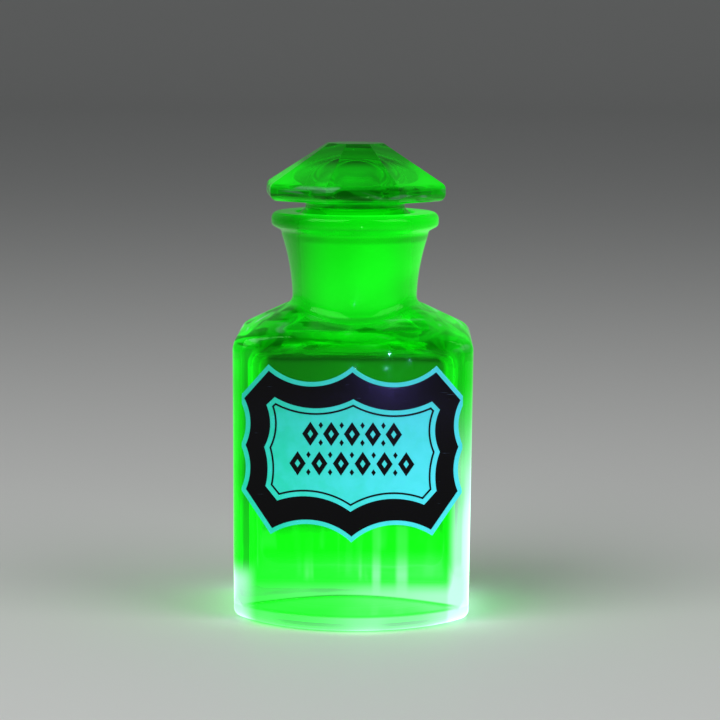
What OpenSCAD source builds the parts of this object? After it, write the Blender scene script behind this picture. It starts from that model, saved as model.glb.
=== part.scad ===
// Square-shouldered apothecary powder jar in pressed glass, with a flat label panel,
// a wide ground neck and a hollow ground stopper under an eight-sided faceted head.
// Millimetres. +Z is up, the label panel faces -Y and the jar stands on z = 0.

/* [Body] */
// Width of the jar between its side walls
body_w = 80; // [70:1:95]
// Depth of the jar between its front and back panels
body_d = 60; // [58:1:66]
// Radius of the round blank that the four flats are cut from, seen at the corners
corner_r = 47.5; // [47:0.5:50]
// How much narrower each side is at the base than at the shoulder
side_taper = 0.7; // [0:0.1:1.5]
// Thickness of the glass in the walls
wall = 5; // [3.5:0.5:6]
// Thickness of the glass in the base
floor_t = 10; // [7:0.5:13]

/* [Foot] */
// Radius of the rounding round the bottom edge
heel_r = 4.5; // [3:0.5:5]
// Height of the foot's upper surface at the middle of the front panel
foot_z = 8.8; // [7.5:0.1:9.5]
// Depth of the hollow under the base
push_up = 1.2; // [0.5:0.1:2]

/* [Shoulder] */
// Height at which the slope of the sides would meet the side walls
side_eave_z = 95; // [90:0.5:97]
// Height at which the slope of the front would meet the front panel
front_eave_z = 96.2; // [92:0.1:97]
// Rise of the shoulder for each millimetre inwards
shoulder_rise = 0.49; // [0.4:0.01:0.55]
// Radius of the rounding between walls and shoulder
shoulder_r = 3.5; // [3.5:0.5:5]

/* [Neck and lip] */
// Outer radius of the neck at its narrowest
neck_r = 21; // [20.5:0.1:22]
// Radius of the long curve that flares the neck outwards
neck_flare_r = 75; // [65:5:95]
// Outer radius of the lip
lip_r = 28.3; // [27:0.1:30]
// Height of the lip
lip_h = 6.3; // [5:0.1:7]
// Height of the top of the lip above the table
lip_top_z = 135.3; // [132:0.1:138]

/* [Stopper] */
// Radius of the ground plug where it meets the lip
plug_r = 19.6; // [19:0.1:20]
// Length of the ground plug
plug_len = 35; // [30:0.5:36]
// Narrowing of the plug's radius for each millimetre downwards
plug_taper = 0.05; // [0.03:0.005:0.06]
// Gap all round between plug and ground bore
plug_gap = 0.15; // [0.1:0.05:0.3]
// Radius of the plain shank under the head
shank_r = 16.8; // [15:0.1:18]
// Radius of the hollow inside the plug
hollow_r = 13.2; // [10:0.2:13.4]
// Distance across the flats of the head
head_w = 58.8; // [54:0.2:62]
// Height of the whole head
head_h = 19; // [17:0.5:21]
// Height of the upright band round the head
girdle_h = 5.3; // [5:0.1:7]
// Distance across the flat top of the head
table_w = 18.4; // [14:0.2:24]
// Turn of the head about its own axis
head_turn = 5.7; // [-22:0.1:22]

/* [Label] */
// Height of the middle of the label above the table
label_z = 57.2; // [52:0.1:60]
// Width of the pale margin round the dark band
margin = 1.5; // [1:0.1:2]
// Thickness of the pale ground layer
ground_t = 0.2; // [0.1:0.05:0.4]
// Thickness of the dark printed layers
print_t = 0.1; // [0.05:0.05:0.2]
// Gap between the dark band and the thin inner line
line_gap = 1.6; // [1.3:0.1:2.5]
// Thickness of the thin inner line
line_w = 0.6; // [0.3:0.05:0.8]
// Tilt of the printed window against the label's own outline
window_tilt = 1.1; // [-2:0.1:2]

/* [Hidden] */
$fn = 96;
eps = 0.01;

glass_green = [0.10, 0.88, 0.18, 0.55];
stopper_green = [0.16, 0.95, 0.25, 0.60];
enamel_pale = [0.40, 0.95, 0.88];
enamel_black = [0.03, 0.03, 0.05];

// Body
panel_y = body_d / 2;
foot_r = corner_r - 1;
corner_heel_r = 9;
blank_top_r = 4.5;
foot_edge_z = heel_r + 1;
foot_edge_r = 1.1;
foot_top_r = panel_y - 8;
foot_rise = (foot_z - foot_edge_z) / (foot_r - panel_y);
base_half_w = body_w / 2 - side_taper;
cavity_fillet = 7;
cavity_r = corner_r - wall;
cavity_taper = 1;
roof_r = 5;
roof_drop = wall;
blank_drop = 1;
block_from_z = 2;
ring_inner_r = 35;

// Neck and lip
lip_z = lip_top_z - lip_h;
neck_waist_z = 104;
neck_from_z = 97;
neck_top_r = 24.8;
mouth_chamfer = 0.8;
bore_from_z = 90;

// Stopper
seat_z = lip_top_z - 0.8;
plug_z = seat_z - plug_len;
head_z = lip_top_z + 4.2;
plug_end_r = 2;
hollow_taper = 0.03;
hollow_len = 33.5;
head_top_r = 2.8;
head_foot_r = 2.5;

// Label, measured from its own middle
// Half of the dark band's outline, from the top corner down to the foot corner
band_corners = [[27.6, 27.3], [35.7, 18.1], [35.2, 2.5], [35.1, -12.3], [26.4, -25.4]];
band_middle = [27.0, -28.0];
band_sags = [5.0, 1.8, 1.5, 4.2];
// Half of the window's outline inside the band
window_corners = [[26.0, 18.1], [28.7, 15.4], [29.1, 1.3], [28.4, -11.8], [24.4, -16.6]];
window_middle = [18.1, -19.7];
window_sags = [3.4, 1.6, 0.9, 3.1];
corner_reach = 2.5;
tip_room = 4;
panel_flat = 36.5;

// Ornament in the window: rows of lozenges as [count, pitch, height of the row's middle]
lozenge_rows = [[5, 6.9, 6.4], [6, 7.2, -3.5]];
lozenge = [5.4, 8.1];
lozenge_hole = 0.34;
dot = [1.5, 2.2];

function unit(v) = v / norm(v);
function flat(corner) = [corner[0], corner[1]];
// Angle inside the outline at p, between its neighbours a and b
function inner_angle(a, p, b) = acos(unit(a - p) * unit(b - p));
function arc_centre(a, p, b, r) =
    p + unit(unit(a - p) + unit(b - p)) * r / sin(inner_angle(a, p, b) / 2);
function tangents(a, p, b, r) =
    let (reach = r / tan(inner_angle(a, p, b) / 2))
    r > 0 ? [p + unit(a - p) * reach, p + unit(b - p) * reach] : [p];

// Outline with true arcs at its corners, listed anticlockwise as [x, y, radius]
module rounded_outline(corners) {
    n = len(corners);
    function before(i) = flat(corners[(i + n - 1) % n]);
    function after(i) = flat(corners[(i + 1) % n]);
    function bulges(i) = cross(flat(corners[i]) - before(i), after(i) - flat(corners[i])) > 0;
    module arc(i) {
        translate(arc_centre(before(i), flat(corners[i]), after(i), corners[i][2]))
            circle(corners[i][2]);
    }
    module sharp() {
        polygon([for (corner = corners) flat(corner)]);
    }
    difference() {
        union() {
            polygon([
                for (i = [0 : n - 1])
                    each tangents(before(i), flat(corners[i]), after(i), corners[i][2])
            ]);
            for (i = [0 : n - 1])
                if (corners[i][2] > 0 && bulges(i))
                    intersection() {
                        arc(i);
                        sharp();
                    }
        }
        for (i = [0 : n - 1])
            if (corners[i][2] > 0 && !bulges(i)) arc(i);
    }
}

// Upright slab with a gabled top: half width at the base and at the eave, and the roof's slope
module gable(base_x, eave_x, base_z, eave_z, bottom_r, top_r) {
    ridge_z = eave_z + shoulder_rise * eave_x;
    rotate([90, 0, 0])
        linear_extrude(4 * corner_r, center = true)
            rounded_outline([
                [-base_x, base_z, bottom_r],
                [base_x, base_z, bottom_r],
                [eave_x, eave_z, top_r],
                [0, ridge_z, 0],
                [-eave_x, eave_z, top_r]
            ]);
}

// Round blank with a conical top, which gives the upright corners their curve
module round_blank(r, base_z, eave_z, bottom_r, top_r) {
    rotate_extrude()
        rounded_outline([
            [0, base_z, 0],
            [r, base_z, bottom_r],
            [r, eave_z, top_r],
            [0, eave_z + shoulder_rise * r, 0]
        ]);
}

module body_block() {
    intersection() {
        gable(base_half_w, body_w / 2, 0, side_eave_z, heel_r - 1, shoulder_r);
        rotate([0, 0, 90])
            gable(panel_y, panel_y, block_from_z, front_eave_z, 0, shoulder_r);
        round_blank(corner_r, 0, side_eave_z - blank_drop, corner_heel_r, blank_top_r);
    }
}

// Round foot that stands proud of the front and back panels
module foot() {
    intersection() {
        rotate_extrude()
            rounded_outline([
                [0, 0, 0],
                [foot_r, 0, heel_r],
                [foot_r, foot_edge_z, foot_edge_r],
                [foot_top_r, foot_edge_z + foot_rise * (foot_r - foot_top_r), 0],
                [0, foot_edge_z + foot_rise * (foot_r - foot_top_r), 0]
            ]);
        gable(base_half_w, body_w / 2, 0, side_eave_z, heel_r - 1, shoulder_r);
    }
}

module neck_and_lip() {
    difference() {
        translate([0, 0, neck_from_z])
            cylinder(h = lip_z - neck_from_z + 1, r = neck_top_r);
        rotate_extrude()
            translate([neck_r + neck_flare_r, neck_waist_z])
                circle(neck_flare_r, $fn = 360);
    }
    rotate_extrude()
        rounded_outline([
            [0, lip_z, 0],
            [lip_r - 3.4, lip_z, 0],
            [lip_r, lip_z + 1.9, 1.6],
            [lip_r, lip_top_z, 2.2],
            [0, lip_top_z, 0]
        ]);
}

module cavity() {
    inner_x = body_w / 2 - wall;
    inner_y = panel_y - wall;
    intersection() {
        gable(inner_x - cavity_taper, inner_x, floor_t, side_eave_z - roof_drop, cavity_fillet, roof_r);
        rotate([0, 0, 90])
            gable(inner_y - 1, inner_y, floor_t - 0.5, front_eave_z - roof_drop, cavity_fillet, roof_r);
        round_blank(cavity_r, floor_t - 1, side_eave_z - roof_drop - blank_drop, cavity_fillet, roof_r);
    }
}

module ground_bore() {
    bore_top_r = plug_r + plug_gap + plug_taper * (lip_top_z + 1 - seat_z);
    bore_low_r = plug_r + plug_gap - plug_taper * (seat_z - bore_from_z);
    translate([0, 0, bore_from_z])
        cylinder(h = lip_top_z + 1 - bore_from_z, r1 = bore_low_r, r2 = bore_top_r);
    translate([0, 0, lip_top_z - mouth_chamfer])
        cylinder(h = mouth_chamfer + eps, r1 = plug_r + plug_gap, r2 = plug_r + plug_gap + mouth_chamfer);
}

module bottle() {
    color(glass_green)
        difference() {
            union() {
                body_block();
                foot();
                neck_and_lip();
            }
            cavity();
            ground_bore();
            translate([0, 0, -eps])
                cylinder(h = push_up + eps, r1 = ring_inner_r, r2 = ring_inner_r - 4);
        }
}

// Eight-sided head: four slabs of the same section crossed at 45 degrees
module stopper_head() {
    rotate([0, 0, head_turn])
        intersection_for(turn = [0 : 45 : 135])
            rotate([90, 0, turn])
                linear_extrude(2 * head_w, center = true)
                    rounded_outline([
                        [-head_w / 2, head_z, head_foot_r],
                        [head_w / 2, head_z, head_foot_r],
                        [head_w / 2, head_z + girdle_h, head_top_r],
                        [table_w / 2, head_z + head_h, 0],
                        [-table_w / 2, head_z + head_h, 0],
                        [-head_w / 2, head_z + girdle_h, head_top_r]
                    ]);
}

module plug_and_shank() {
    plug_low_r = plug_r - plug_taper * plug_len;
    rotate_extrude()
        rounded_outline([
            [0, plug_z, 0],
            [plug_low_r, plug_z, plug_end_r],
            [plug_r, seat_z, 1],
            [shank_r, seat_z + 2.2, 2],
            [shank_r, head_z + 1, 0],
            [0, head_z + 1, 0]
        ]);
}

// Hollow open at the bottom of the plug, closed by a dome just inside the head
module plug_hollow() {
    dome_r = hollow_r - hollow_taper * hollow_len;
    translate([0, 0, plug_z - 1])
        cylinder(h = hollow_len + 1, r1 = hollow_r, r2 = dome_r);
    translate([0, 0, plug_z + hollow_len - eps])
        sphere(dome_r);
}

module stopper() {
    color(stopper_green)
        difference() {
            union() {
                stopper_head();
                plug_and_shank();
            }
            plug_hollow();
        }
}

// Disc that bites a concave arc of the given sag between two corners, on the outline's outer side
module bite(a, b, sag, grow) {
    half = norm(b - a) / 2;
    r = (half * half + sag * sag) / (2 * sag);
    out = unit([b[1] - a[1], a[0] - b[0]]);
    translate((a + b) / 2 + out * (r - sag))
        circle(r - grow, $fn = 180);
}

// Half of the label outline's straight edge between two corners, run past both ends
function edge_run(a, b, grow) =
    let (along = unit(b - a), out = [-along[1], along[0]])
    [a - along * corner_reach + out * grow, b + along * corner_reach + out * grow];

// Shaped outline with concave arcs between its corners and straight cuts at its four corners
module shaped_outline(corners, middle, sags, grow) {
    top_cut = edge_run(corners[0], corners[1], grow);
    foot_cut = edge_run(corners[3], corners[4], grow);
    half = concat(top_cut, foot_cut);
    mirrored = [for (i = [3 : -1 : 0]) [-half[i][0], half[i][1]]];
    difference() {
        polygon(concat(half, [[0, middle[1] - tip_room]], mirrored));
        for (side = [0, 1])
            mirror([side, 0]) {
                bite(corners[0], [0, middle[0]], sags[0], grow);
                bite(corners[2], corners[1], sags[1], grow);
                bite(corners[3], corners[2], sags[2], grow);
                bite([0, middle[1]], corners[4], sags[3], grow);
            }
    }
}

module band_outline(grow = 0) {
    intersection() {
        shaped_outline(band_corners, band_middle, band_sags, grow);
        square([2 * panel_flat, 4 * corner_r], center = true);
    }
}

module window_outline(grow = 0) {
    rotate(-window_tilt)
        shaped_outline(window_corners, window_middle, window_sags, grow);
}

// Lays a flat shape on the front panel, starting at the given height above the glass
module on_panel(rest, thickness) {
    translate([0, -panel_y - rest, label_z])
        rotate([90, 0, 0])
            linear_extrude(thickness)
                children();
}

module label_ground() {
    color(enamel_pale)
        on_panel(0, ground_t)
            band_outline(margin);
}

module label_border() {
    color(enamel_black)
        on_panel(ground_t, print_t)
            difference() {
                band_outline();
                window_outline();
            }
}

module label_hairline() {
    color(enamel_black)
        on_panel(ground_t, print_t)
            difference() {
                window_outline(-line_gap);
                window_outline(-line_gap - line_w);
            }
}

module lozenge_shape(size) {
    polygon([[-size[0] / 2, 0], [0, -size[1] / 2], [size[0] / 2, 0], [0, size[1] / 2]]);
}

module lozenge_row(count, pitch) {
    for (i = [0 : count - 1])
        translate([(i - (count - 1) / 2) * pitch, 0])
            difference() {
                lozenge_shape(lozenge);
                lozenge_shape(lozenge * lozenge_hole);
            }
    for (i = [0 : count - 2], side = [-1, 1])
        translate([(i - count / 2 + 1) * pitch, side * lozenge[1] * 0.36])
            lozenge_shape(dot);
}

module label_ornament() {
    color(enamel_black)
        on_panel(ground_t, print_t)
            for (row = lozenge_rows)
                translate([0, row[2]])
                    lozenge_row(row[0], row[1]);
}

bottle();
stopper();
label_ground();
label_border();
label_hairline();
label_ornament();
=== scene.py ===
import bpy
import math
import numpy as np
from mathutils import Matrix, Vector


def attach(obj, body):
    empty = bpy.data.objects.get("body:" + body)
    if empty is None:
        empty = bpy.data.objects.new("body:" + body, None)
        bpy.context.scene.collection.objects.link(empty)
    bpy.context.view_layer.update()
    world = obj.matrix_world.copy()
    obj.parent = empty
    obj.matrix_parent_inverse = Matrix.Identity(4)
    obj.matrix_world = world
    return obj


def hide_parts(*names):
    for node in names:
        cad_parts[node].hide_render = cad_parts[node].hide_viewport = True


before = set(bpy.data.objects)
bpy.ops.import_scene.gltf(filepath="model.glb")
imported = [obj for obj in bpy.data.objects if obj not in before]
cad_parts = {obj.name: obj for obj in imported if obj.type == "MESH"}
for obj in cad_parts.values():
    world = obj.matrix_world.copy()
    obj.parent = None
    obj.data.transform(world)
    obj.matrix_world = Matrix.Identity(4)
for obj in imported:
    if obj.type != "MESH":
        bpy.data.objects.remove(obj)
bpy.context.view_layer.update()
print("frame loaded:", len(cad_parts), "nodes")

mm = 0.001
halvings = 34                                 # steps in the search for each point of an outline


def linearFromHex(code):
    parts = [int(code[i:i + 2], 16) / 255 for i in (1, 3, 5)]
    return [c / 12.92 if c <= 0.04045 else ((c + 0.055) / 1.055) ** 2.4 for c in parts] + [1.0]


# adds one node, with its settings and with its inputs as values or links
def addNode(tree, kind, inputs=None, **settings):
    made = tree.nodes.new(kind)
    for key, value in settings.items():
        setattr(made, key, value)
    for key, value in (inputs or {}).items():
        if isinstance(value, bpy.types.NodeSocket):
            tree.links.new(value, made.inputs[key])
        else:
            made.inputs[key].default_value = value
    return made


cameraPlan = {
    "lens": 135, "sensor": 36,                # mm
    "near": 0.01, "far": 20,                  # m
    "spot": (15.94 * mm, -913.4 * mm, 197.5 * mm),
    "aim": (2.0 * mm, 0.0, 84.6 * mm),
    "roll": 0.4,                              # degrees
}


def makeCamera(plan):
    data = bpy.data.cameras.new("stillCamera")
    data.lens = plan["lens"]
    data.sensor_width = plan["sensor"]
    data.clip_start, data.clip_end = plan["near"], plan["far"]
    camera = bpy.data.objects.new("stillCamera", data)
    spot, aim = Vector(plan["spot"]), Vector(plan["aim"])
    turn = (aim - spot).to_track_quat("-Z", "Y").to_matrix().to_4x4()
    roll = Matrix.Rotation(math.radians(plan["roll"]), 4, "Z")
    camera.matrix_world = Matrix.Translation(spot) @ turn @ roll
    bpy.context.scene.collection.objects.link(camera)
    bpy.context.scene.camera = camera


makeCamera(cameraPlan)
print("camera placed")


# the corner between two faces, given as distances, rounded on the outside by radius r
def roundIn(a, b, r):
    return np.minimum(-r, np.maximum(a, b)) + np.hypot(np.maximum(a + r, 0), np.maximum(b + r, 0))


# the same for the hollow corner where two bodies join
def roundOut(a, b, r):
    return np.maximum(r, np.minimum(a, b)) - np.hypot(np.maximum(r - a, 0), np.maximum(r - b, 0))


# walks out along each angle to where the field crosses zero
def ringAt(field, angles, z, reach):
    lo, hi = np.zeros_like(angles), np.full_like(angles, reach)
    for _ in range(halvings):
        mid = (lo + hi) / 2
        inside = field(mid * np.cos(angles), mid * np.sin(angles), z) < 0
        lo, hi = np.where(inside, mid, lo), np.where(inside, hi, mid)
    return np.stack([lo * np.cos(angles), lo * np.sin(angles), np.full_like(angles, z)], axis=1)


def roundRing(angles, r, z):
    return np.stack([r * np.cos(angles), r * np.sin(angles), np.full_like(angles, z)], axis=1)


def arcPoints(centre, r, start, end, steps):
    turns = np.radians(np.linspace(start, end, steps + 1))
    return [(centre[0] + r * math.cos(t), centre[1] + r * math.sin(t)) for t in turns]


def loftMesh(name, rings, firstPole, lastPole):
    count = len(rings[0])
    points = [firstPole] + [tuple(p) for ring in rings for p in ring] + [lastPole]
    last = len(points) - 1
    faces = []
    for j in range(count):
        k = (j + 1) % count
        faces.append((0, 1 + k, 1 + j))
        top = 1 + (len(rings) - 1) * count
        faces.append((last, top + j, top + k))
    for i in range(len(rings) - 1):
        low, high = 1 + i * count, 1 + (i + 1) * count
        for j in range(count):
            k = (j + 1) % count
            faces.append((low + j, low + k, high + k, high + j))
    mesh = bpy.data.meshes.new(name)
    mesh.from_pydata([[c * mm for c in p] for p in points], [], faces)
    mesh.validate()
    mesh.shade_smooth()
    made = bpy.data.objects.new(name, mesh)
    bpy.context.scene.collection.objects.link(made)
    return made


jarPlan = {
    "halfWide": 40.0, "baseHalfWide": 39.3, "panel": 30.0, "blank": 47.5,
    "sideEave": 95.0, "frontEave": 96.2, "rise": 0.49,
    "shoulderRound": 3.5, "hipRound": 1.6, "cornerRound": 1.2,
    "footRadius": 46.5, "heel": 4.5, "footEdge": 5.5, "footSlope": 0.2, "footTopRound": 1.1, "crease": 0.5,
    "blankHeel": 9.0, "sideHeel": 3.5, "blankDrop": 1.0,
    "recess": 1.2, "recessRadius": 34.6, "recessSag": 0.25, "recessFlat": 31.0,
    "neckFillet": 2.6, "neckWaist": 21.0, "neckCurve": 75.0, "waistHeight": 104.0,
    "lipRadius": 28.3, "lipTop": 135.3, "lipWidest": 131.75, "lipUnderRound": 1.6, "lipOverRound": 2.2,
    "cornerFrom": 29.0, "cornerTo": 43.5,     # degrees round the axis, where the body's corner lies
    "boreRadius": 19.75, "boreTaper": 0.05, "boreTop": 134.5,
    "wall": 5.0, "floor": 10.0, "floorFillet": 7.0, "floorRise": 0.5, "innerTaper": 1.0, "roofRound": 4.0,
    "innerCorner": 2.0, "innerBlank": 3.0, "boreFoot": 1.6, "mouthRound": 0.9,
    "reach": 60.0,                            # further out than any point of the glass
}


def jarAngles(plan):
    start, end = plan["cornerFrom"], plan["cornerTo"]
    corner = np.arange(start, end, 0.9)
    quarter = np.concatenate([np.linspace(0, start, 14)[:-1], corner, np.linspace(end, 90, 24)[:-1]])
    whole = np.concatenate([quarter, 180 - quarter[::-1], 180 + quarter, 360 - quarter[::-1]])
    return np.radians(np.unique(np.round(whole % 360, 4)))


def jarOutside(x, y, z, plan=jarPlan):
    p = plan
    r = np.hypot(x, y)
    tilt = math.hypot(1, p["rise"])
    side = np.abs(x) - (p["baseHalfWide"] + (p["halfWide"] - p["baseHalfWide"]) * min(z / p["sideEave"], 1))
    flat = np.abs(y) - p["panel"]
    blank = r - p["blank"]
    walls = roundIn(np.maximum(side, flat), blank, p["cornerRound"])
    slopeSide = (z - p["sideEave"] - p["rise"] * (p["halfWide"] - np.abs(x))) / tilt
    slopeFront = (z - p["frontEave"] - p["rise"] * (p["panel"] - np.abs(y))) / tilt
    slopeBlank = (z - p["sideEave"] + p["blankDrop"] - p["rise"] * (p["blank"] - r)) / tilt
    slopes = roundIn(roundIn(slopeSide, slopeFront, p["hipRound"]), slopeBlank, p["hipRound"])
    block = roundIn(walls, slopes, p["shoulderRound"])
    block = np.maximum(block, roundIn(blank, -z + 0 * r, p["blankHeel"]))
    foot = roundIn(r - p["footRadius"], -z + 0 * r, p["heel"])
    top = (z - p["footEdge"] - p["footSlope"] * (p["footRadius"] - r)) / math.hypot(1, p["footSlope"])
    foot = roundIn(foot, top, p["footTopRound"])
    both = roundOut(block, foot, p["crease"])
    both = np.maximum(both, roundIn(side, -z + 0 * r, p["sideHeel"]))
    drop = max(z, 90.0) - p["waistHeight"]
    neckWall = p["neckWaist"] + p["neckCurve"] - math.sqrt(p["neckCurve"] ** 2 - drop ** 2)
    return roundOut(both, r - neckWall, p["neckFillet"])


def jarInside(x, y, z, plan=jarPlan):
    p = plan
    r = np.hypot(x, y)
    w = p["wall"]
    tilt = math.hypot(1, p["rise"])
    taper = p["innerTaper"] * (1 - min(z / (p["sideEave"] - w), 1))
    side = np.abs(x) - (p["halfWide"] - w - taper)
    flat = np.abs(y) - (p["panel"] - w - taper)
    blank = r - (p["blank"] - w - taper)
    walls = roundIn(roundIn(side, flat, p["innerCorner"]), blank, p["innerBlank"])
    slopeSide = (z - p["sideEave"] + w - p["rise"] * (p["halfWide"] - w - np.abs(x))) / tilt
    slopeFront = (z - p["frontEave"] + w - p["rise"] * (p["panel"] - w - np.abs(y))) / tilt
    slopeBlank = (z - p["sideEave"] + p["blankDrop"] + w - p["rise"] * (p["blank"] - w - r)) / tilt
    slopes = roundIn(roundIn(slopeSide, slopeFront, p["innerCorner"]), slopeBlank, p["innerCorner"])
    room = roundIn(walls, slopes, p["roofRound"])
    room = roundIn(room, p["floor"] - z + 0 * r, p["floorFillet"])
    bore = r - (p["boreRadius"] + p["boreTaper"] * (z - p["boreTop"]))
    return roundOut(room, bore, p["boreFoot"])


# one lofted skin: under the foot, up the outside, over the lip, down the bore and round the inside
def makeJar(plan):
    angles = jarAngles(plan)
    p = plan
    rings = [roundRing(angles, r, p["recess"] - p["recessSag"] * (r / p["recessFlat"]) ** 2)
             for r in (6, 14, 22, 28, p["recessFlat"])]
    rings += [roundRing(angles, r, z) for r, z in ((32.2, 0.75), (33.4, 0.32), (p["recessRadius"], 0.04))]
    # rings lie closest where the outline turns quickest
    turns = np.radians(np.linspace(4, 90, 10))
    heights = list(p["heel"] * (1 - np.cos(turns)))
    heights += list(np.arange(4.8, 9.7, 0.16)) + list(np.linspace(10.2, 88, 15))
    heights += list(np.arange(89.0, 106.0, 0.38)) + list(np.linspace(106.4, 127.6, 17))
    rings += [ringAt(jarOutside, angles, z, p["reach"]) for z in heights]
    lipR, topZ = p["lipRadius"], p["lipTop"]
    under, over = p["lipUnderRound"], p["lipOverRound"]
    profile = [(24.86, 128.3), (25.05, 128.8), (25.5, 129.25), (26.2, 129.68)]
    profile += arcPoints((lipR - under, p["lipWidest"]), under, -60, 0, 6)
    profile += arcPoints((lipR - over, topZ - over), over, 0, 90, 9)
    profile += [(24.6, topZ), (22.6, topZ)]
    mouth = p["mouthRound"]
    profile += arcPoints((p["boreRadius"] + mouth, topZ - mouth), mouth, 90, 180, 5)
    rings += [roundRing(angles, r, z) for r, z in profile]
    inner = list(np.linspace(133.6, 102, 12)) + list(np.arange(101, 83.5, -0.42))
    inner += list(np.linspace(82.5, 18, 11))
    filletTop = p["floor"] + p["floorFillet"]
    inner += [filletTop - p["floorFillet"] * math.sin(t) for t in np.radians(np.linspace(6, 86, 12))]
    rings += [ringAt(jarInside, angles, z, p["reach"]) for z in inner]
    low = rings[-1]
    for k in (0.93, 0.8, 0.6, 0.38, 0.16):
        ring = low * [k, k, 1]
        ring[:, 2] = p["floor"] + p["floorRise"] * (1 - k) + (low[:, 2] - p["floor"]) * k
        rings.append(ring)
    return loftMesh("jarGlass", rings, (0, 0, p["recess"]), (0, 0, p["floor"] + p["floorRise"]))


jar = makeJar(jarPlan)
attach(jar, "bottle")
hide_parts("bottle")
print("jar:", len(jar.data.polygons), "faces")


stopperPlan = {
    "turn": 5.7, "apothem": 29.4, "table": 9.2, "headBottom": 139.5, "girdle": 144.8, "headTop": 158.5,
    "arris": 0.5,                             # rounding along the edges between the facets
    "topRound": 0.45, "edgeRound": 2.6, "footRound": 2.5,
    "shank": 16.8, "plugTop": 19.6, "seat": 134.5, "plugBottom": 99.5, "taper": 0.05,
    "hollow": 13.2, "dome": 12.2, "domeFrom": 133.0,
}


def stopperAngles(plan):
    half = [0, 0.12, 0.25, 0.4, 0.6, 0.95, 1.5, 2.6, 4.5, 7.5, 11, 15, 19]
    near = sorted(set([-a for a in half] + half + [22.5]))
    whole = [22.5 + 45 * i + a for i in range(8) for a in near]
    return np.radians(np.array(whole) + plan["turn"])


def octagonRing(angles, plan, apothem, z):
    fold = (angles - math.radians(plan["turn"])) % (math.pi / 4)
    fold = np.minimum(fold, math.pi / 4 - fold)             # angle away from the middle of the nearest flat
    r = min(plan["arris"], apothem * 0.3)
    flatHalf = (apothem - r) * math.tan(math.pi / 8)
    onFlat = apothem * np.tan(fold) < flatHalf
    reach = (apothem - r) / math.cos(math.pi / 8)
    away = math.pi / 8 - fold
    side = reach * np.sin(away)
    onArc = reach * np.cos(away) + np.sqrt(np.maximum(r * r - side * side, 0))
    radius = np.where(onFlat, apothem / np.cos(fold), onArc)
    return np.stack([radius * np.cos(angles), radius * np.sin(angles), np.full_like(angles, z)], axis=1)


def makeStopper(plan):
    p = plan
    angles = stopperAngles(p)
    a, t = p["apothem"], p["table"]
    slope = math.atan2(p["headTop"] - p["girdle"], a - t)
    topRound, edgeRound, footRound = p["topRound"], p["edgeRound"], p["footRound"]
    # down the hollow first, then the plug, the shank and the head
    dome = arcPoints((0, p["domeFrom"]), p["dome"], 84, 0, 12)
    drop = p["domeFrom"] - p["plugBottom"]
    wall = [(p["dome"] + (p["hollow"] - p["dome"]) * f, p["domeFrom"] - drop * f)
            for f in (0.15, 0.35, 0.6, 0.85, 0.96)]
    plugLow = p["plugTop"] - p["taper"] * (p["seat"] - p["plugBottom"])
    rim = arcPoints((p["hollow"] + 1.2, p["plugBottom"] + 1.2), 1.2, 180, 270, 4)
    rim += arcPoints((plugLow - 2, p["plugBottom"] + 2), 2, -90, 0, 6)
    plugLength = p["seat"] - p["plugBottom"]
    ground = [(plugLow + (p["plugTop"] - plugLow) * f, p["plugBottom"] + plugLength * f)
              for f in (0.12, 0.3, 0.5, 0.7, 0.9, 0.96)]
    shoulder = arcPoints((p["plugTop"] - 1, p["seat"] - 0.7), 1, 3, 62, 4)
    shank = [(17.9, 135.7), (17.2, 136.2), (16.85, 136.9), (16.8, 137.6)]
    under = arcPoints((p["shank"] + 1.6, p["headBottom"] - 1.6), 1.6, 180, 90, 5)
    circles = dome + wall + rim + ground + shoulder + shank + under
    rings = [roundRing(angles, r, z) for r, z in circles]
    low = p["headBottom"]
    head = [(a - footRound - 5, low), (a - footRound - 1.2, low)]
    head += arcPoints((a - footRound, low + footRound), footRound, -90, 0, 7)
    reach = edgeRound * math.tan((math.pi / 2 - slope) / 2)
    centre = (a - edgeRound, p["girdle"] - reach)
    head += [(a, low + footRound + 0.4), (a, centre[1] - 0.4)]
    head += arcPoints(centre, edgeRound, 0, 90 - math.degrees(slope), 5)
    along = [0.04, 0.2, 0.45, 0.7, 0.93, 0.97]
    edge = (centre[0] + edgeRound * math.sin(slope), centre[1] + edgeRound * math.cos(slope))
    head += [(edge[0] + (t - edge[0]) * f, edge[1] + (p["headTop"] - edge[1]) * f) for f in along]
    back = topRound * math.tan(slope / 2)
    head += arcPoints((t - back, p["headTop"] - topRound), topRound, 90 - math.degrees(slope), 90, 3)
    head += [(t - back - 0.4, p["headTop"]), (6.0, p["headTop"]), (3.0, p["headTop"])]
    rings += [octagonRing(angles, p, r, z) for r, z in head]
    return loftMesh("stopperGlass", rings, (0, 0, p["domeFrom"] + p["dome"]), (0, 0, p["headTop"]))


stopper = makeStopper(stopperPlan)
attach(stopper, "stopper")
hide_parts("stopper")
print("stopper:", len(stopper.data.polygons), "faces")


def newMaterial(name):
    made = bpy.data.materials.new(name)
    made.use_nodes = True
    made.node_tree.nodes.clear()
    return made, made.node_tree


operations = {"times": "MULTIPLY", "plus": "ADD", "less": "SUBTRACT", "most": "MAXIMUM"}


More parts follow.
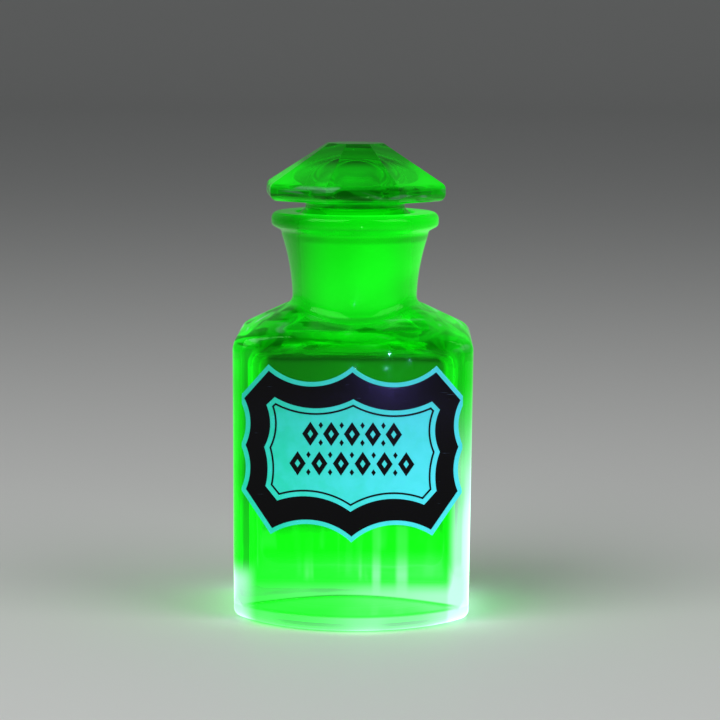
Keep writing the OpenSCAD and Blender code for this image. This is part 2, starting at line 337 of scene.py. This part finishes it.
# A recipe is a number, the name of a place, a soft step (place, start, end, low, high), or a word
# from the operations with its parts. Steps along a length are in millimetres.
def buildMask(tree, places, recipe):
    if isinstance(recipe, (int, float)):
        return float(recipe)
    if isinstance(recipe, str):
        return places[recipe]
    word, *parts = recipe
    if word in operations:
        total = buildMask(tree, places, parts[0])
        for part in parts[1:]:
            total = addNode(tree, "ShaderNodeMath", {0: total, 1: buildMask(tree, places, part)},
                            operation=operations[word]).outputs[0]
        return total
    start, end, *heights = parts
    low, high = heights or (0.0, 1.0)
    unit = mm if word in places["lengths"] else 1.0
    return addNode(tree, "ShaderNodeMapRange",
                   {"Value": places[word], "From Min": start * unit, "From Max": end * unit,
                    "To Min": low, "To Max": high}, interpolation_type="SMOOTHSTEP").outputs[0]


# where a point lies on its piece, and the patterns that run through it
def findPlaces(tree, patterns, foldSlope=0.2):
    spot = addNode(tree, "ShaderNodeTexCoord").outputs["Object"]
    x, y, z = addNode(tree, "ShaderNodeSeparateXYZ", {0: spot}).outputs
    level = addNode(tree, "ShaderNodeCombineXYZ", {"X": x, "Y": y}).outputs[0]
    places = {"x": x, "y": y, "z": z}
    places["r"] = addNode(tree, "ShaderNodeVectorMath", {0: level}, operation="LENGTH").outputs["Value"]
    places["across"] = addNode(tree, "ShaderNodeMath", {0: x}, operation="ABSOLUTE").outputs[0]
    places["depth"] = addNode(tree, "ShaderNodeMath", {0: y}, operation="ABSOLUTE").outputs[0]
    places["fold"] = addNode(tree, "ShaderNodeMath", {0: places["r"], 1: foldSlope, 2: z},
                             operation="MULTIPLY_ADD").outputs[0]
    places["lengths"] = ("x", "y", "z", "r", "across", "depth", "fold")
    for name, (size, stretch, tilt, detail, twist) in patterns.items():
        laid = addNode(tree, "ShaderNodeMapping",
                       {"Vector": spot, "Scale": stretch, "Rotation": (0, math.radians(tilt), 0)}).outputs[0]
        places[name] = addNode(tree, "ShaderNodeTexNoise",
                               {"Vector": laid, "Scale": 1 / (size * mm), "Detail": detail,
                                "Distortion": twist}).outputs["Fac"]
    return places


# Uranium glass, pressed and fire-polished: clear and wet-looking, with its green glow all through the
# thickness painted in as emission that stands in for fluorescence
uraniumPlan = {
    "tint": "#E4FFE6", "shade": "#1F6A22", "glow": "#00FA0A", "paleGlow": "#CCFCF2", "sheen": "#6FD86F",
    "absorbColour": (0.0, 0.925, 0.05), "absorbDensity": 400.0,    # per metre
    "ior": 1.52, "polish": 0.025, "groundRough": 0.5, "rimBlend": 0.4,
    "waveStrength": 0.25, "waveDepth": 1.0, "grainStrength": 0.3, "grainDepth": 0.08,    # depths in mm
    "patterns": {            # size in mm, stretch, tilt in degrees, detail, distortion
        "wave": (14, (1, 1, 1), 0, 1.5, 0.0),              # unevenness of a pressed surface
        "grain": (0.5, (1, 1, 1), 0, 3.0, 0.0),            # ground faces, coarser than real grit so it shows
        "uprightNoise": (7, (1, 1, 0.07), 0, 2.0, 0.0),            # upright streaks, used for brighter and paler painted glow low on the body
        "cloud": (24, (1, 1, 1), 0, 1.0, 0.0),             # uneven glow
        "swirl": (4.5, (0.3, 0.3, 1.2), 0, 1.0, 0.8),       # swirled streaks, for painted shade and painted highlights
    },
    "mixing": {
        # upright streaks of brighter, paler painted glow, low on the body
        "paintedGlowStreaks": ("times", ("uprightNoise", 0.56, 0.68), ("z", 60, 24), ("z", 13, 17)),
        # painted shade and painted highlights in swirled streaks
        "paintedDarkStreaks": ("times", ("swirl", 0.50, 0.40), "paintedStreakZone"),
        "paintedPaleStreaks": ("times", ("swirl", 0.60, 0.70, 0.0, 0.5), "paintedStreakZone"),
        "keep": ("less", 1, ("times", "paintedDarkStreaks", 0.85)),
        "glow": ("plus", ("times", "glowZone", ("cloud", 0.35, 0.65, 0.72, 1.12), "keep"),
                 ("times", "paintedGlowStreaks", 0.16)),
        "pale": ("plus", "paleGlowZone", "paintedPaleStreaks", ("times", "paintedGlowStreaks", 0.4)),
        "shade": ("most", "shadeZone", ("times", "paintedDarkStreaks", 0.6)),
        # painted glow, stronger where the surface is seen edge-on
        "rim": ("times", "facing", "facing", "rimGain", ("plus", "glow", "rimGlow")),
        "lit": ("plus", "glow", "rim"),
        "grainHeight": ("times", "grain", "ground"),
    },
}


def makeUraniumGlass(name, plan, zones):
    made, tree = newMaterial(name)
    places = findPlaces(tree, plan["patterns"])
    places["facing"] = addNode(tree, "ShaderNodeLayerWeight", {"Blend": plan["rimBlend"]}).outputs["Facing"]
    for part, recipe in {**zones, **plan["mixing"]}.items():
        places[part] = buildMask(tree, places, recipe)
    rough = addNode(tree, "ShaderNodeMix",
                    {"Factor": places["ground"], "A": plan["polish"], "B": plan["groundRough"]},
                    data_type="FLOAT")
    clearBump = addNode(tree, "ShaderNodeBump",
                        {"Height": places["wave"], "Strength": plan["waveStrength"],
                         "Distance": plan["waveDepth"] * mm})
    groundBump = addNode(tree, "ShaderNodeBump",
                         {"Height": places["grainHeight"], "Strength": plan["grainStrength"],
                          "Distance": plan["grainDepth"] * mm, "Normal": clearBump.outputs[0]})
    tint = addNode(tree, "ShaderNodeMix",
                   {"Factor": places["shade"], "A": linearFromHex(plan["tint"]),
                    "B": linearFromHex(plan["shade"])}, data_type="RGBA")
    colour = addNode(tree, "ShaderNodeMix",
                     {"Factor": places["pale"], "A": linearFromHex(plan["glow"]),
                      "B": linearFromHex(plan["paleGlow"])}, data_type="RGBA")
    glass = addNode(tree, "ShaderNodeBsdfPrincipled",
                    {"Base Color": tint.outputs["Result"], "Transmission Weight": 1.0, "IOR": plan["ior"],
                     "Specular Tint": linearFromHex(plan["sheen"]),
                     "Roughness": rough.outputs["Result"], "Normal": groundBump.outputs[0],
                     "Emission Color": colour.outputs["Result"], "Emission Strength": places["lit"]})
    body = addNode(tree, "ShaderNodeVolumeAbsorption",
                   {"Color": [*plan["absorbColour"], 1.0], "Density": plan["absorbDensity"]})
    addNode(tree, "ShaderNodeOutputMaterial", {"Surface": glass.outputs[0], "Volume": body.outputs[0]})
    return made


# where the jar's painted glow lies, where painted shade dims it and where painted highlights turn it paler
jarZones = {
    "ground": ("times", ("r", 20.6, 20.1), ("z", 95, 98)),                     # inside the neck
    "glowZone": ("times",
                 ("plus", 0.008,
                  ("z", 64, 26, 0.0, 0.12),                                    # lower half of the body
                  ("most", ("z", 25, 14, 0.0, 0.75),                           # thick foot
                   ("plus",                                                    # painted glow on the upright edges, brighter on the right front, lit from the right
                    ("times", ("across", 30, 34.5, 0.0, 0.34), ("depth", 17, 26, 0.3, 1.0)),
                    ("times", ("x", 31.5, 35), ("y", -20, -26), ("z", 78, 50, 0.0, 0.32)))),
                  ("times", ("z", 92, 97), ("x", -12, 34, 0.14, 0.24))),       # painted glow on the shoulder and neck, brighter to the right
                 ("less", 1, ("most",
                              ("times", ("fold", 14.0, 14.7), ("fold", 15.8, 15.1),    # painted shade in the crease above the foot
                               ("depth", 26, 29), ("across", 37, 31), 0.85),
                              ("times", ("z", 125.8, 126.6), ("z", 128.6, 127.8), 0.6),    # painted shade under the lip
                              ("times", ("x", -13, -20, 0.0, 0.7), ("z", 104, 108))))),    # painted shade left of the neck
    "paleGlowZone": ("plus", 0.02,
                 ("times", ("z", 15, 9), ("x", -34, 40, 0.14, 0.7)),           # painted highlight on the foot, paler to the right
                 # painted highlights at the corners of the foot
                 ("times", ("across", 31, 37), ("depth", 17, 26, 0.2, 1.0), ("z", 22, 13, 0.0, 0.75)),
                 # painted highlight down the right side
                 ("times", ("x", 31.5, 35), ("y", -20, -26), ("z", 82, 48, 0.0, 0.78)),
                 ("times", ("plus", ("times", ("x", 6.4, 7.8), ("x", 10.4, 9.0)),    # twin painted highlight streaks in front
                            ("times", ("x", 14.2, 16.0), ("x", 19.6, 17.8))),
                  ("y", -23, -25), ("z", 8, 17), ("z", 40, 31), 0.4)),
    "paintedStreakZone": ("times", ("z", 90, 94), ("z", 109, 104),                        # painted shade and highlight streaks on the shoulders, stronger to the left
               ("r", 22, 26), ("x", 32, 4, 0.45, 1.0)),
    "shadeZone": ("times", ("z", 96, 88, 0.0, 0.25), ("x", 20, -30)),          # body, darker to the left
    "rimGlow": 0.08, "rimGain": 1.5,
}

# where the stopper's painted glow lies, where painted shade dims it and where it turns paler
stopperZones = {
    "ground": ("times", ("r", 14.4, 15.2), ("z", 134.9, 134.2)),               # outside of the plug
    "glowZone": ("times",
                 ("plus", 0.03,
                  ("times", ("z", 136, 132, 0.0, 0.11), ("x", -16, -6, 0.4, 1.0)),    # painted glow on the plug, dimmer to the left
                  ("times", ("z", 153.5, 150), ("z", 137, 140, 0.0, 0.30),     # painted glow on the facets, with painted shade at the girdle
                   ("most", 0.45, ("less", 1, ("times", ("z", 140.3, 141.2), ("z", 144.5, 143.6)))))),
                 ("most", ("r", 12.6, 13.2), ("z", 138, 134), ("z", 146, 148))),    # painted shade: no glow on the dome of the hollow
    # paler painted glow low on the plug
    "paleGlowZone": ("z", 128, 104, 0.01, 0.12),
    "paintedStreakZone": ("times", ("z", 139.1, 140.1), ("z", 145.5, 144.5), ("r", 20, 24, 0.0, 0.8)),    # painted shade and highlight streaks at the girdle
    "shadeZone": ("most", ("times", ("r", 13.0, 12.4), ("z", 136.5, 138), ("z", 147.5, 146)),
                  ("z", 153, 156, 0.0, 0.3)),                                  # dome of the hollow, table
    "rimGlow": 0.03, "rimGain": 0.5,
}

jar.data.materials.append(makeUraniumGlass("pressedUraniumGlass", uraniumPlan, jarZones))
stopper.data.materials.append(makeUraniumGlass("groundUraniumStopper", uraniumPlan, stopperZones))

# Fired enamel: a thin glossy layer of glass and pigment, with hairline scratches from handling
enamelPlan = {
    "pale": "#4ADDEE", "paleLeft": "#0CC79C", "paleRough": 0.35, "paleSheen": 0.3,
    "dark": "#020203", "darkWorn": "#2A3A44", "gloss": 0.07, "wornRough": 0.4, "darkSheen": 0.12,
    "paleBump": (0.15, 0.1), "darkBump": (0.1, 0.05),      # strength, and depth in mm
    # size in mm, stretch, tilt in degrees, detail, distortion
    "palePatterns": {"mottle": (5, (1, 1, 1), 0, 4.0, 0.0)},
    "darkPatterns": {"scratch": (1.6, (0.18, 1, 2.4), 24, 2.0, 0.0), "fleck": (5, (1, 1, 1), 0, 5.0, 0.0)},
    "rightward": ("plus", ("x", -40, 30, 0.0, 0.8), ("mottle", 0.3, 0.7, 0.0, 0.2)),
    # painted glow: the pale enamel emits its own colour, stronger towards the bottom
    "paintedLabelGlow": ("z", 88, 40, 0.10, 0.42),
    "worn": ("times", ("scratch", 0.68, 0.74), ("fleck", 0.5, 0.62)),
}


def makePaleEnamel(plan):
    made, tree = newMaterial("paleFiredEnamel")
    places = findPlaces(tree, plan["palePatterns"])
    colour = addNode(tree, "ShaderNodeMix",
                     {"Factor": buildMask(tree, places, plan["rightward"]),
                      "A": linearFromHex(plan["paleLeft"]), "B": linearFromHex(plan["pale"])},
                     data_type="RGBA")
    strength, depth = plan["paleBump"]
    bump = addNode(tree, "ShaderNodeBump",
                   {"Height": places["mottle"], "Strength": strength, "Distance": depth * mm})
    # the pale enamel carries a painted glow in its own colour
    enamel = addNode(tree, "ShaderNodeBsdfPrincipled",
                     {"Base Color": colour.outputs["Result"], "Roughness": plan["paleRough"],
                      "Normal": bump.outputs[0], "Specular IOR Level": plan["paleSheen"],
                      "Emission Color": colour.outputs["Result"],
                      "Emission Strength": buildMask(tree, places, plan["paintedLabelGlow"])})
    addNode(tree, "ShaderNodeOutputMaterial", {"Surface": enamel.outputs[0]})
    return made


def makeBlackEnamel(plan):
    made, tree = newMaterial("blackFiredEnamel")
    places = findPlaces(tree, plan["darkPatterns"])
    worn = buildMask(tree, places, plan["worn"])
    colour = addNode(tree, "ShaderNodeMix",
                     {"Factor": worn, "A": linearFromHex(plan["dark"]), "B": linearFromHex(plan["darkWorn"])},
                     data_type="RGBA")
    rough = addNode(tree, "ShaderNodeMix",
                    {"Factor": worn, "A": plan["gloss"], "B": plan["wornRough"]}, data_type="FLOAT")
    strength, depth = plan["darkBump"]
    bump = addNode(tree, "ShaderNodeBump",
                   {"Height": places["scratch"], "Strength": strength, "Distance": depth * mm})
    enamel = addNode(tree, "ShaderNodeBsdfPrincipled",
                     {"Base Color": colour.outputs["Result"], "Roughness": rough.outputs["Result"],
                      "Normal": bump.outputs[0], "Specular IOR Level": plan["darkSheen"]})
    addNode(tree, "ShaderNodeOutputMaterial", {"Surface": enamel.outputs[0]})
    return made


def dress(name, finish):
    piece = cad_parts[name]
    for slotIndex in range(len(piece.material_slots)):
        piece.material_slots[slotIndex].material = finish


dress("label_ground", makePaleEnamel(enamelPlan))
blackEnamel = makeBlackEnamel(enamelPlan)
for name in ("label_border", "label_hairline", "label_ornament"):
    dress(name, blackEnamel)
print("materials done")

# matt paper sweep: a floor that bends up into a plain background, with no shine
stagePlan = {
    "floor": "#D6D7D5", "rough": 0.7,
    "width": 9.0, "front": -3.0, "back": 7.0, "bend": 1.5, "top": 4.0,    # m
}


def makeStage(plan):
    side = plan["width"] / 2
    path = [(plan["front"], 0.0), (plan["back"] - plan["bend"], 0.0)]
    path += [(plan["back"] - plan["bend"] + plan["bend"] * math.sin(t), plan["bend"] * (1 - math.cos(t)))
             for t in np.radians(np.linspace(0, 90, 13))[1:]]
    path.append((plan["back"], plan["top"]))
    points = [(x, y, z) for y, z in path for x in (-side, side)]
    faces = [(2 * i, 2 * i + 1, 2 * i + 3, 2 * i + 2) for i in range(len(path) - 1)]
    mesh = bpy.data.meshes.new("paperSweep")
    mesh.from_pydata(points, [], faces)
    mesh.shade_smooth()
    sweep = bpy.data.objects.new("paperSweep", mesh)
    bpy.context.scene.collection.objects.link(sweep)
    made, tree = newMaterial("mattPaper")
    paper = addNode(tree, "ShaderNodeBsdfPrincipled",
                    {"Base Color": linearFromHex(plan["floor"]), "Roughness": plan["rough"]})
    addNode(tree, "ShaderNodeOutputMaterial", {"Surface": paper.outputs[0]})
    mesh.materials.append(made)


airPlan = {"colour": "#F2F4F6", "strength": 0.16}
lampAim = (0, 0, 0.08)
lightPlan = [                # name, place, size across and up in metres, power in watts, colour
    ("keyBox", (-0.7, -0.7, 1.0), (1.1, 1.1), 12.0, "#FFFFFF"),
    ("fillBox", (0.9, -0.5, 0.9), (0.9, 0.9), 6.0, "#FFFFFF"),
    ("lowGlint", (0.010, -0.587, 0.020), (0.009, 0.009), 0.12, "#8C78FF"),
    ("pinLamp", (0.104, -0.59, 0.058), (0.008, 0.008), 0.08, "#F2F8FF"),
]


def makeLights(plan):
    for name, place, size, power, colour in plan:
        data = bpy.data.lights.new(name, "AREA")
        data.shape = "RECTANGLE"
        data.size, data.size_y = size
        data.energy = power
        data.color = linearFromHex(colour)[:3]
        lamp = bpy.data.objects.new(name, data)
        lamp.location = place
        lamp.visible_camera = False
        lamp.rotation_mode = "QUATERNION"
        lamp.rotation_quaternion = (Vector(lampAim) - Vector(place)).to_track_quat("-Z", "Y")
        bpy.context.scene.collection.objects.link(lamp)
    world = bpy.data.worlds.new("studioAir")
    world.use_nodes = True
    air = world.node_tree.nodes["Background"]
    air.inputs["Color"].default_value = linearFromHex(airPlan["colour"])
    air.inputs["Strength"].default_value = airPlan["strength"]
    bpy.context.scene.world = world
    bpy.context.scene.view_settings.view_transform = "Standard"


makeStage(stagePlan)
makeLights(lightPlan)
print("stage and lights done")
